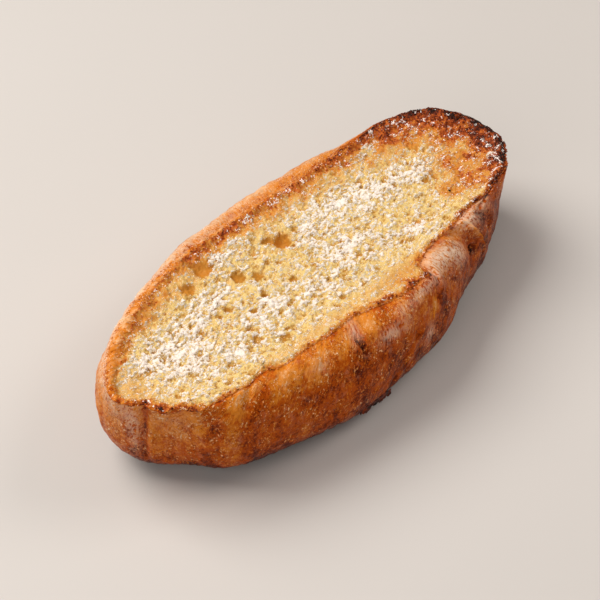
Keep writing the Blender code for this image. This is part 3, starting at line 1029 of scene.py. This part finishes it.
def shape_crumb(mesh):
    """Moves the net onto the cut face. Gives the maps that its finish reads."""
    net = points_of(mesh)
    skirt = net[:, 2] < -0.5
    across = net[:, 0] * np.sqrt(1 - net[:, 1] ** 2 / 2)
    up = net[:, 1] * np.sqrt(1 - net[:, 0] ** 2 / 2)
    angle, reach = np.arctan2(up, across), np.hypot(across, up)
    reach *= 1 - CRUMB_BORDER / width_in(angle)
    points = cut_face(angle, reach)
    plan = points[:, :2]
    depth_in = (1 - reach) * width_in(angle) / MM - lip_spread(angle)
    soaked = ovals_at(plan, SOAKED_SPOTS)
    brown = browning_of_face(angle, reach, plan)
    open_share = ease(0.4, 2.2, depth_in) * (1 - 0.75 * soaked) * (1 - 0.45 * brown)
    dug = open_share * sum(
        open_bubbles(plan, pitch, depth, chance, 0.3 + level)
        for level, (pitch, depth, chance) in enumerate(BUBBLES)
    )
    grit = GRIT_HEIGHT * layered(points, GRIT)
    clear = ease(-0.4, 0.4, depth_in)
    points[:, 2] += clear * (grit * (1 - 0.5 * soaked) * (1 + 1.5 * brown) - dug)
    points[:, 2] -= LAP_HIDES * (1 - clear)
    points[skirt] *= (SKIRT_REACH, SKIRT_REACH, 0)
    points[skirt, 2] = RIM_HEIGHT - CRUMB_SEAT
    set_points(mesh, points)
    pit = np.clip((dug - pore_relief(plan) - 0.5 * grit) / FULL_PIT, 0, 1)
    return plan, pit, soaked, brown, depth_in, skirt


crumb_plan, crumb_pit, crumb_soaked, crumb_brown, crumb_in, in_skirt = shape_crumb(crumb_mesh)
print("open share of the crumb:", round(float((crumb_pit > 0.3).mean()), 2))

# %% [markdown]
# Sugar catches on the crests first and fills the pits only where it lies
# thick. So the dust map adds streaky noise to the drifts and then takes some
# away in the pits, which makes the white break up along the bubbles. Where it
# lies thickest the surface rises in soft heaps.

# %% Dust map
SUGAR_STREAK = 1.7  # how much longer its patches are along the roll
SUGAR_BREAKS = ((5, 41, 0.15), (2.8, 47, 0.35), (1.5, 42, 0.45), (0.8, 43, 0.55))
THIN_SUGAR = 0.27  # what lies everywhere
DRIFT_SUGAR = 0.6  # what a drift of strength 1 adds
PIT_SHADOW = 0.85  # what a full pit takes away
HEAPS = ((2.4, 48, 0.8),)
HEAP_HEIGHT = 0.6 * MM


def sugar_at(plan, pit, soaked, brown, depth_in):
    """How thickly the sugar lies, 0 to 1."""
    streaks = lay(plan[:, 0] / SUGAR_STREAK, plan[:, 1])
    drifts = THIN_SUGAR + DRIFT_SUGAR * ovals_at(plan, SUGAR_DRIFTS)
    thick = layered(streaks, SUGAR_BREAKS, drifts) - PIT_SHADOW * pit
    clusters = ease(0.0, 0.4, noise_at(streaks, 4 * MM, 44))
    shed = np.clip(1 - brown * (1.3 - 1.1 * clusters), 0, 1) * (1 - 0.6 * soaked)
    return np.clip(thick, 0, 1) * shed * ease(0.2, 1.8, depth_in)


def heap_sugar(mesh, sugar):
    """Lifts the surface where sugar lies thick, in soft heaps."""
    points = points_of(mesh)
    heaps = np.maximum(layered(points, HEAPS, 0.6), 0.1)
    points[:, 2] += HEAP_HEIGHT * ease(0.25, 0.8, sugar) * heaps
    set_points(mesh, points)


crumb_sugar = sugar_at(crumb_plan, crumb_pit, crumb_soaked, crumb_brown, crumb_in)
heap_sugar(crumb_mesh, crumb_sugar)
crumb_maps = {"brown": crumb_brown, "pit": crumb_pit, "soaked": crumb_soaked, "sugar": crumb_sugar}
for name, values in crumb_maps.items():
    keep(crumb_mesh, name, values)
print("sugar covers", round(float((crumb_sugar > 0.4).mean()), 2), "of the cut face")

# %% [markdown]
# ## Finishes that share their parts
# Crust, crumb and crisp flakes brown along the same road with other colours,
# and sugar lies on crust and crumb alike, so browning and sugar dust are node
# groups. They are made once, and each material gives them its own values.


# %% Node groups
def new_group(name, inputs, outputs):
    """An empty node group with named sockets, and its two end nodes."""
    group = bpy.data.node_groups.new(name, "ShaderNodeTree")
    for way, sockets in (("INPUT", inputs), ("OUTPUT", outputs)):
        for label, kind in sockets:
            group.interface.new_socket(label, in_out=way, socket_type="NodeSocket" + kind)
    return group, group.nodes.new("NodeGroupInput").outputs, group.nodes.new("NodeGroupOutput")


def use_group(tree, group, inputs):
    """Places a group in a tree and gives its outputs."""
    return add(tree, "ShaderNodeGroup", inputs, node_tree=group).outputs


def make_browning_group():
    """From pale through gold and brown to char, as Brown goes from 0 to 1."""
    stops = (("Gold", 0.0, 0.34), ("Chestnut", 0.34, 0.6), ("Dark", 0.6, 0.8), ("Char", 0.8, 1.0))
    inputs = [("Brown", "Float"), ("Pale", "Color")] + [(stop[0], "Color") for stop in stops]
    group, given, end = new_group("Browning", inputs, [("Color", "Color")])
    colour = given["Pale"]
    for name, low, high in stops:
        share = smooth_step(group, given["Brown"], low, high)
        colour = blend_colours(group, share, colour, given[name])
    feed(group, end, {"Color": colour})
    return group


def make_dust_group():
    """Sugar over a colour: fine white grains where Sugar is high."""
    inputs = [("Color", "Color"), ("Sugar", "Float"), ("Vector", "Vector"), ("White", "Color")]
    outputs = [("Color", "Color"), ("Cover", "Float")]
    group, given, end = new_group("Sugar dust", inputs, outputs)
    fine = grain(group, given["Vector"], 0.8 * MM, 3, 0.65)
    broken = smooth_step(group, sway(group, given["Sugar"], [(fine, 2.6)]), 0.3, 0.6)
    cover = calc(group, broken, "*", smooth_step(group, given["Sugar"], 0.0, 0.25))
    dusted = blend_colours(group, cover, given["Color"], given["White"])
    feed(group, end, {"Color": dusted, "Cover": cover})
    return group


browning_group = make_browning_group()
dust_group = make_dust_group()
SUGAR_WHITE = tint(250, 241, 228)


def dust(tree, colour):
    """Sugar dust over a colour, as thick as the mesh says."""
    inputs = {"Color": colour, "Sugar": attribute(tree, "sugar"), "White": SUGAR_WHITE}
    return use_group(tree, dust_group, {**inputs, "Vector": place_on_object(tree)})


print("groups:", [group.name for group in bpy.data.node_groups])

# %% [markdown]
# ## Crust finish
# Baked, egg-washed skin is satin: a dull broad shine over colour that runs in
# fine strokes down from the rim, with tiny pits, pale folds and blisters. The
# pale of the folds and blisters is a painted highlight on their raised relief,
# and in the sheen patches a pale pink is painted into the colour as a broad
# highlight. The strokes and folds are noise on the places kept on the skin,
# squeezed along the way down. A clear coat stands for butter, and lies on the
# blisters and, more thinly, on the sheen patches.

# %% Crust material
CRUST_COLOURS = {
    "Pale": tint(245, 190, 136),
    "Gold": tint(222, 132, 38),
    "Chestnut": tint(184, 79, 8),
    "Dark": tint(108, 35, 3),
    "Char": tint(34, 16, 10),
}
# Painted highlight: the pale pink of the painted sheen.
PAINTED_SHEEN_COLOUR = tint(250, 216, 188)
SKIN_SQUEEZE = 0.5  # along the way down the skin


def make_crust_material():
    material, tree, shader = new_material("satin_baked_crust")
    even = place_on_object(tree)
    on_skin = {"Vector": attribute(tree, "skin", "Vector"), "Scale": (1, 1, SKIN_SQUEEZE)}
    skin = add(tree, "ShaderNodeMapping", on_skin).outputs[0]
    strokes = grain(tree, skin, 0.9 * MM, 4, bend=0.7)
    blotches = grain(tree, even, 5 * MM)
    mottle = grain(tree, even, 1.3 * MM, 4, 0.7)
    pits = smooth_step(tree, grain(tree, even, 1.1 * MM, 2), 0.6, 0.74)
    rough = smooth_step(tree, grain(tree, even, 8 * MM, 2), 0.4, 0.6)
    rough = calc(tree, rough, "+", 0.35)
    # Painted highlight: thin fold lines that are raised and made paler, as light on fine ridges.
    fold_lines_painted_lit = thin_lines(tree, grain(tree, skin, 1.7 * MM, 2, bend=1), 0.035)
    broken = calc(tree, smooth_step(tree, strokes, 0.45, 0.6), "*", rough)
    fold_lines_painted_lit = calc(tree, fold_lines_painted_lit, "*", broken)
    cracks = thin_lines(tree, grain(tree, even, 2.4 * MM, 2, bend=1.5), 0.022)
    cracks = calc(tree, cracks, "*", rough)
    # Painted highlight: the blisters are raised and coated, and their colour is also made paler to
    # paint their glints.
    blisters_painted_glint = smooth_step(tree, grain(tree, even, 1.05 * MM, 1.5), 0.6, 0.7)
    blisters_painted_glint = calc(tree, blisters_painted_glint, "*", rough)
    clouds = (strokes, -0.26), (blotches, 0.3), (mottle, 0.6)
    shifted = sway(tree, attribute(tree, "brown"), clouds)
    marks = (pits, 0.14), (fold_lines_painted_lit, -0.34), (cracks, 0.2), (blisters_painted_glint, -0.45)
    shifted = add_marks(tree, shifted, marks)
    browned = use_group(tree, browning_group, {"Brown": shifted, **CRUST_COLOURS})["Color"]
    # Painted highlight: a pale pink sheen blended into the colour, broken up by the strokes; the
    # same share adds a little clear coat.
    painted_sheen_spots = smooth_step(tree, grain(tree, even, 3.2 * MM), 0.5, 0.7)
    painted_sheen_and_coat = add_marks(tree, attribute(tree, "painted_sheen"), [(painted_sheen_spots, 0.1)])
    painted_sheen_and_coat = calc(tree, painted_sheen_and_coat, "*", smooth_step(tree, strokes, 0.36, 0.56), clamp=True)
    with_painted_sheen = blend_colours(tree, calc(tree, painted_sheen_and_coat, "*", 0.95), browned, PAINTED_SHEEN_COLOUR)
    raised = (blisters_painted_glint, 2), (fold_lines_painted_lit, 1), (pits, -0.6), (cracks, -0.6)
    finish = {
        "Base Color": dust(tree, with_painted_sheen)["Color"],
        "Roughness": add_marks(tree, 0.24, [(blotches, 0.2)]),
        "Normal": bumped(tree, add_marks(tree, strokes, raised), 0.6, 0.3 * MM),
        "Coat Weight": calc(tree, calc(tree, painted_sheen_and_coat, "*", 0.2), "+", blisters_painted_glint, clamp=True),
        "Coat Roughness": 0.18,
        "Specular IOR Level": 0.05,
    }
    feed(tree, shader, finish)
    return material


crust_mesh.materials.append(make_crust_material())
crust = put_in_scene("baked_crust", crust_mesh)
print("the crust finish has", len(crust_mesh.materials[0].node_tree.nodes), "nodes")

# %% [markdown]
# ## Crumb finish
# The crumb is pale egg yellow on its crests and deeper ochre in the pits, a
# painted shade for the light that is lost and tinted between the bubble walls.
# Butter turns it amber and a little glossy. The browning group takes over
# towards the rim, and the sugar dust lies over everything.

# %% Crumb material
CRUMB_COLOURS = {
    "Gold": tint(216, 140, 48),
    "Chestnut": tint(198, 96, 26),
    "Dark": tint(140, 54, 14),
    "Char": tint(36, 20, 14),
}
CREST_COLOUR = tint(240, 209, 134)
PAINTED_PIT_SHADE = tint(184, 124, 32)
AMBER = tint(212, 134, 30)


def make_crumb_material():
    material, tree, shader = new_material("soaked_toasted_crumb")
    even = place_on_object(tree)
    mottle = grain(tree, even, 1.2 * MM)
    fine = grain(tree, even, 0.75 * MM, 3, 0.7)
    # Painted shade: the deeper the pit, the more of the darker ochre.
    deep = sway(tree, attribute(tree, "pit"), [(mottle, 1.1), (fine, 1.8)])
    bare = blend_colours(tree, smooth_step(tree, deep, 0, 1), CREST_COLOUR, PAINTED_PIT_SHADE)
    soaked = attribute(tree, "soaked")
    bare = blend_colours(tree, calc(tree, soaked, "*", 0.85), bare, AMBER)
    brown = attribute(tree, "brown")
    flecks = calc(tree, smooth_step(tree, brown, 0.1, 0.5), "*", 1.1)
    shifted = sway(tree, brown, [(mottle, 0.7), (fine, flecks)])
    inputs = {"Brown": shifted, "Pale": bare, **CRUMB_COLOURS}
    dusted = dust(tree, use_group(tree, browning_group, inputs)["Color"])
    height = add_marks(tree, fine, [(dusted["Cover"], 0.6)])
    finish = {
        "Base Color": dusted["Color"],
        "Roughness": add_marks(tree, 0.75, [(soaked, -0.3)]),
        "Normal": bumped(tree, height, 0.9, 0.5 * MM),
        "Specular IOR Level": 0.3,
    }
    feed(tree, shader, finish)
    return material


crumb_mesh.materials.append(make_crumb_material())
crumb = put_in_scene("toasted_crumb", crumb_mesh)
print("the crumb finish has", len(crumb_mesh.materials[0].node_tree.nodes), "nodes")

# %% [markdown]
# ## Scattered small things
# Sugar clumps, single grains and crisp flakes are small shapes repeated many
# times. One rough ball or pyramid is made by its operator, and its points are
# copied to every place with their own size, turn and squash, all in arrays,
# because thousands of objects would be slow to make and slow to render.

# %% Scatter helper
JITTER = 0.25  # mm, how far a lump lies from its point of the surface


def small_lump(sides):
    """The points and triangles of a lump of radius 1: a ball of 8 sides or a pyramid of 4."""
    bm = bmesh.new()
    if sides == 8:
        bmesh.ops.create_uvsphere(bm, u_segments=4, v_segments=2, radius=1)
    else:
        bmesh.ops.create_cone(bm, cap_ends=True, segments=3, radius1=1, radius2=0, depth=1.4)
    points = np.array([vert.co for vert in bm.verts])
    faces = np.array([[vert.index for vert in face.verts] for face in bm.faces])
    bm.free()
    return points, faces


def scattered(name, places, sizes, draw, squash=0.7, sides=8):
    """One mesh of many small lumps, each with its own size and turn."""
    ball, faces = small_lump(sides)
    count = len(places)
    shape = ball[None] * (1 + 0.5 * (draw.random((count, len(ball), 1)) - 0.5))
    slim = np.stack([np.ones(count), draw.uniform(0.6, 1, count), np.full(count, squash)], 1)
    x, y, z = np.moveaxis(shape * slim[:, None], 2, 0)
    turn = draw.uniform(0, 2 * np.pi, count)[:, None]
    cos, sin = np.cos(turn), np.sin(turn)
    shape = np.stack([x * cos - y * sin, x * sin + y * cos, z], 2)
    points = places[:, None] + shape * sizes[:, None, None]
    corners = faces[None] + len(ball) * np.arange(count)[:, None, None]
    mesh = bpy.data.meshes.new(name)
    mesh.from_pydata(points.reshape(-1, 3), [], corners.reshape(-1, 3))
    mesh.update()
    print(name, ":", count, "lumps,", len(mesh.polygons), "triangles")
    return mesh


def pick_places(points, weights, count, draw):
    """Places drawn from the points of a surface, the heavier the likelier."""
    chosen = draw.choice(len(points), size=count, replace=True, p=weights / weights.sum())
    jitter = draw.uniform(-JITTER, JITTER, (count, 3)) * MM
    jitter[:, 2] = 0
    return points[chosen] + jitter, chosen


# %% [markdown]
# Clumps lie where the sugar map is thick, with a few strays on the browned
# crumb, and are sunk a little into the surface. Single grains lie over all of
# the crumb and on the rim and the upper crust, most of them at the far side.

# %% Sugar clumps
CLUMPS = 24000
CLUMP_RADIUS = (0.12, 0.32)  # mm
CLUMP_SINK = 0.35  # of its radius
CLUMP_GROWS = 0.6  # how much larger the clumps on browned crumb are
SUGAR_SEED = 12

draw = np.random.default_rng(SUGAR_SEED)
crumb_points = points_of(crumb_mesh)
bare_top = ~in_skirt
clustered = ease(0.15, 0.42, noise_at(crumb_points, 2.4 * MM, 45))
stray = 0.2 * ease(0.25, 0.5, crumb_brown) * ease(0.3, 1.5, crumb_in) * clustered
weights = (stray + 0.9 * ease(0.3, 1.0, crumb_sugar)) * (1 - 0.4 * crumb_pit)
places, chosen = pick_places(crumb_points, np.where(bare_top, weights, 0), CLUMPS, draw)
sizes = draw.uniform(*CLUMP_RADIUS, CLUMPS) * MM
sizes *= 1 + CLUMP_GROWS * ease(0.2, 0.5, crumb_brown[chosen])
places[:, 2] -= CLUMP_SINK * sizes
clump_mesh = scattered("powdered_sugar", places, sizes, draw)

# %% Sugar grains
GRAINS = 45500
GRAIN_RADIUS = (0.12, 0.30)  # mm
CRUST_GRAINS = 3500
CRUST_GRAIN_RADIUS = (0.10, 0.22)  # mm

weights = np.where(bare_top, (0.1 + crumb_sugar) * (1 - 0.9 * crumb_pit), 0)
weights *= ease(0.1, 1.2, crumb_in) * (1 - 0.8 * crumb_soaked)
weights *= 1 - 0.85 * np.minimum(crumb_brown / 0.5, 1)
on_crumb, _ = pick_places(crumb_points, weights, GRAINS, draw)
upward = points_of(crust_mesh, "vector")[:, 2]
strewn = ease(0.0, 0.35, noise_at(crust_points, 4 * MM, 46))
weights = np.where(on_lip | (crust_drop < 0.3), (0.1 + strewn) * ease(0.1, 0.6, upward), 0)
weights *= 0.3 + bell(turn_between(crust_angle, 130) / 60)
on_crust, _ = pick_places(crust_points, weights, CRUST_GRAINS, draw)
sizes = [draw.uniform(*GRAIN_RADIUS, GRAINS), draw.uniform(*CRUST_GRAIN_RADIUS, CRUST_GRAINS)]
sizes = np.concatenate(sizes) * MM
grain_mesh = scattered("sugar_grains", np.vstack([on_crumb, on_crust]), sizes, draw, sides=4)

# %% Sugar material
SUGAR_COLOURS = {  # in the light and in the dark clouds of its own tone
    clump_mesh: (tint(251, 243, 241), tint(246, 236, 229)),
    grain_mesh: (tint(248, 236, 224), tint(242, 228, 208)),
}
# Painted light: a weak warm glow lifts the shaded sides of the sugar, as if light passed through
# it.
PAINTED_SUGAR_GLOW = {"Emission Color": (1.0, 0.87, 0.74, 1), "Emission Strength": 0.16}


def make_sugar_material(name, colours):
    material, tree, shader = new_material(name)
    even = place_on_object(tree)
    finish = {
        "Base Color": blend_colours(tree, grain(tree, even, 2 * MM), *colours),
        "Roughness": 0.85,
        "Normal": bumped(tree, grain(tree, even, 0.12 * MM), 0.4, 0.05 * MM),
    }
    feed(tree, shader, {**finish, **PAINTED_SUGAR_GLOW})
    return material


for mesh, colours in SUGAR_COLOURS.items():
    mesh.materials.append(make_sugar_material(mesh.name, colours))
clump_mesh.shade_smooth()
sugar = put_in_scene("powdered_sugar", clump_mesh)
grains = put_in_scene("sugar_grains", grain_mesh)
print("sugar:", [material.name for mesh in SUGAR_COLOURS for material in mesh.materials])

# %% [markdown]
# ## Dust and flakes on the rim
# The far end's crust keeps a little sugar dust. The rim sheds crisp flakes
# that cling along its burnt stretches and on the browned crumb, as brown as
# what they lie on. Two of them are black specks.

# %% Dust on the far crust
DUST_ON_LIP = 0.25
DUST_ON_SKIN = 0.12
far_end = ease(40, 85, crust_points[:, 0] / MM)
crust_sugar = np.where(on_lip, DUST_ON_LIP, DUST_ON_SKIN) * far_end * ease(0.2, 0.8, upward)
keep(crust_mesh, "sugar", crust_sugar)
print("dust lies on", round(float((crust_sugar > 0.05).mean()), 3), "of the crust's points")

# %% Flakes
FLAKES = 5200
RIM_SHARE = 0.38  # of the flakes lie on the lip, the rest on the browned crumb
FLAKE_RADIUS = (0.2, 0.6)  # mm
FLAKE_SQUASH = 0.6
BLACK_SPECKS = ((63.9, -11.4, 0.85), (58.5, -13.8, 0.4))  # x, y, radius in mm
edge = scorched(crust_angle)
far_rim = 0.3 * bell(turn_between(crust_angle, 125) / 45)
weights = np.where(on_lip | (on_side & (crust_drop < 0.06)), 0.015 + edge + far_rim, 0)
weights *= ease(0.0, 0.5, upward)
on_rim, from_rim = pick_places(crust_points, weights, int(FLAKES * RIM_SHARE), draw)
weights = np.where(bare_top, ease(0.28, 0.65, crumb_brown), 0)
on_crumb, from_crumb = pick_places(crumb_points, weights, FLAKES - len(on_rim), draw)
flake_brown = np.concatenate([crust_brown[from_rim] - 0.08, crumb_brown[from_crumb] + 0.05])
flake_brown += draw.uniform(-0.2, 0.15, FLAKES)
flake_sizes = draw.uniform(*FLAKE_RADIUS, FLAKES) * MM
flake_places = np.vstack([on_rim, on_crumb])
for k, (x, y, radius) in enumerate(BLACK_SPECKS, start=len(on_rim)):
    away = np.hypot(crumb_points[:, 0] - x * MM, crumb_points[:, 1] - y * MM) + in_skirt
    flake_places[k] = crumb_points[np.argmin(away)] + np.array([0, 0, 0.5 * radius * MM])
    flake_sizes[k] = radius * MM
    flake_brown[k] = 1
flake_mesh = scattered("crisp_flakes", flake_places, flake_sizes, draw, FLAKE_SQUASH)
keep(flake_mesh, "brown", np.repeat(flake_brown, len(flake_mesh.vertices) // FLAKES))
print("on the rim lie", len(on_rim), "flakes, on the crumb", len(on_crumb))


# %% Flake material
def make_flake_material():
    material, tree, shader = new_material("crisp_flakes")
    inputs = {"Brown": attribute(tree, "brown"), **CRUST_COLOURS}
    browned = use_group(tree, browning_group, inputs)["Color"]
    cloudy = grain(tree, place_on_object(tree), 0.5 * MM)
    shade = blend_colours(tree, cloudy, tint(200, 190, 180), tint(255, 255, 255))
    colour = blend_colours(tree, 1.0, browned, shade, "MULTIPLY")
    feed(tree, shader, {"Base Color": colour, "Roughness": 0.5, "Specular IOR Level": 0.15})
    return material


flake_mesh.materials.append(make_flake_material())
flakes = put_in_scene("crisp_flakes", flake_mesh)

# %% [markdown]
# A scrap of skin came loose in the pan and burnt where it hung under the near
# side. It is a small ragged sheet that follows the crust and stands off it
# towards its lower edge.

# %% Burnt scrap
SCRAP_MIDDLE = (264.0, 1.34)  # direction in degrees and drop
SCRAP_REACH = (3.4, 0.10)  # half its length in degrees, half its height as a drop
SCRAP_PANELS = (44, 10)
SCRAP_THICKNESS = 0.6 * MM
SCRAP_STAND_OFF = 1.3 * MM
SCRAP_CLEAR = 0.7 * MM  # over the floor
SCRAP_RAGS = ((2.2, 71, 1), (0.9, 73, 0.9))
SCRAP_BROWN = 0.86


def make_scrap(name):
    """A ragged sheet that hangs off the lower crust."""
    bm = new_grid(SCRAP_PANELS)
    net = np.array([vert.co for vert in bm.verts])
    along, down = net[:, 0], net[:, 1]
    ends = 0.35 + 0.65 * np.sqrt(np.clip(1 - along**2, 0, 1))
    ragged = layered(lay(along * 6 * MM, np.sign(down) * 3 * MM), SCRAP_RAGS)
    angle = np.radians(SCRAP_MIDDLE[0] + SCRAP_REACH[0] * along)
    drop = SCRAP_MIDDLE[1] + SCRAP_REACH[1] * down * (ends + 0.55 * ragged)
    points = crust_section(angle, drop)
    outward = points[:, :2] / np.linalg.norm(points[:, :2], axis=1)[:, None]
    off = 0.2 * MM + SCRAP_STAND_OFF * ease(-0.6, 1.0, down) * (1 + 0.8 * ragged)
    points[:, :2] += outward * off[:, None]
    points[:, 2] = np.maximum(points[:, 2], SCRAP_CLEAR)
    points += 0.35 * MM * noise_at(points, 1.3 * MM, 74)[:, None] * np.array([1, 1, 0.5])
    for vert, point in zip(bm.verts, points.tolist()):
        vert.co = point
    bmesh.ops.solidify(bm, geom=bm.faces[:], thickness=SCRAP_THICKNESS)
    return finish_mesh(bm, name)


scrap_mesh = make_scrap("burnt_scrap")
keep(scrap_mesh, "brown", layered(points_of(scrap_mesh), ((1.6, 72, 0.35),), SCRAP_BROWN))
scrap_mesh.materials.append(flake_mesh.materials[0])
scrap = put_in_scene("burnt_scrap", scrap_mesh)
print("the scrap has", len(scrap_mesh.polygons), "faces")

# %% [markdown]
# ## Into the frame
# The outlines were drawn round their own middle. The solid stands with the
# middle of its box on the origin, so every piece moves by the same step in
# plan. The place goes into the meshes, and the objects stay at the origin.

# %% Seat the pieces
pieces = [crust, crumb, sugar, grains, flakes, scrap]
low, high = points_of(crust_mesh).min(axis=0), points_of(crust_mesh).max(axis=0)
node_low, node_high = (np.array(corner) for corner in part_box("toasted_half"))
step = (node_low + node_high) / 2 - (low + high) / 2
step[2] = node_low[2] - low[2]
for piece in pieces:
    piece.data.transform(Matrix.Translation(step.tolist()))
    piece.data.update()
    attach(piece, "root")
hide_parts("toasted_half")
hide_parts("toasted_half")
print("moved by", [round(float(v) / MM, 2) for v in step], "mm")

# %% Sizes, and done
new_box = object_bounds()
for name, box in (("cad", cad_box), ("visual", new_box)):
    print(name, [round(float(v) / MM, 1) for v in box[1] - box[0]], "mm")
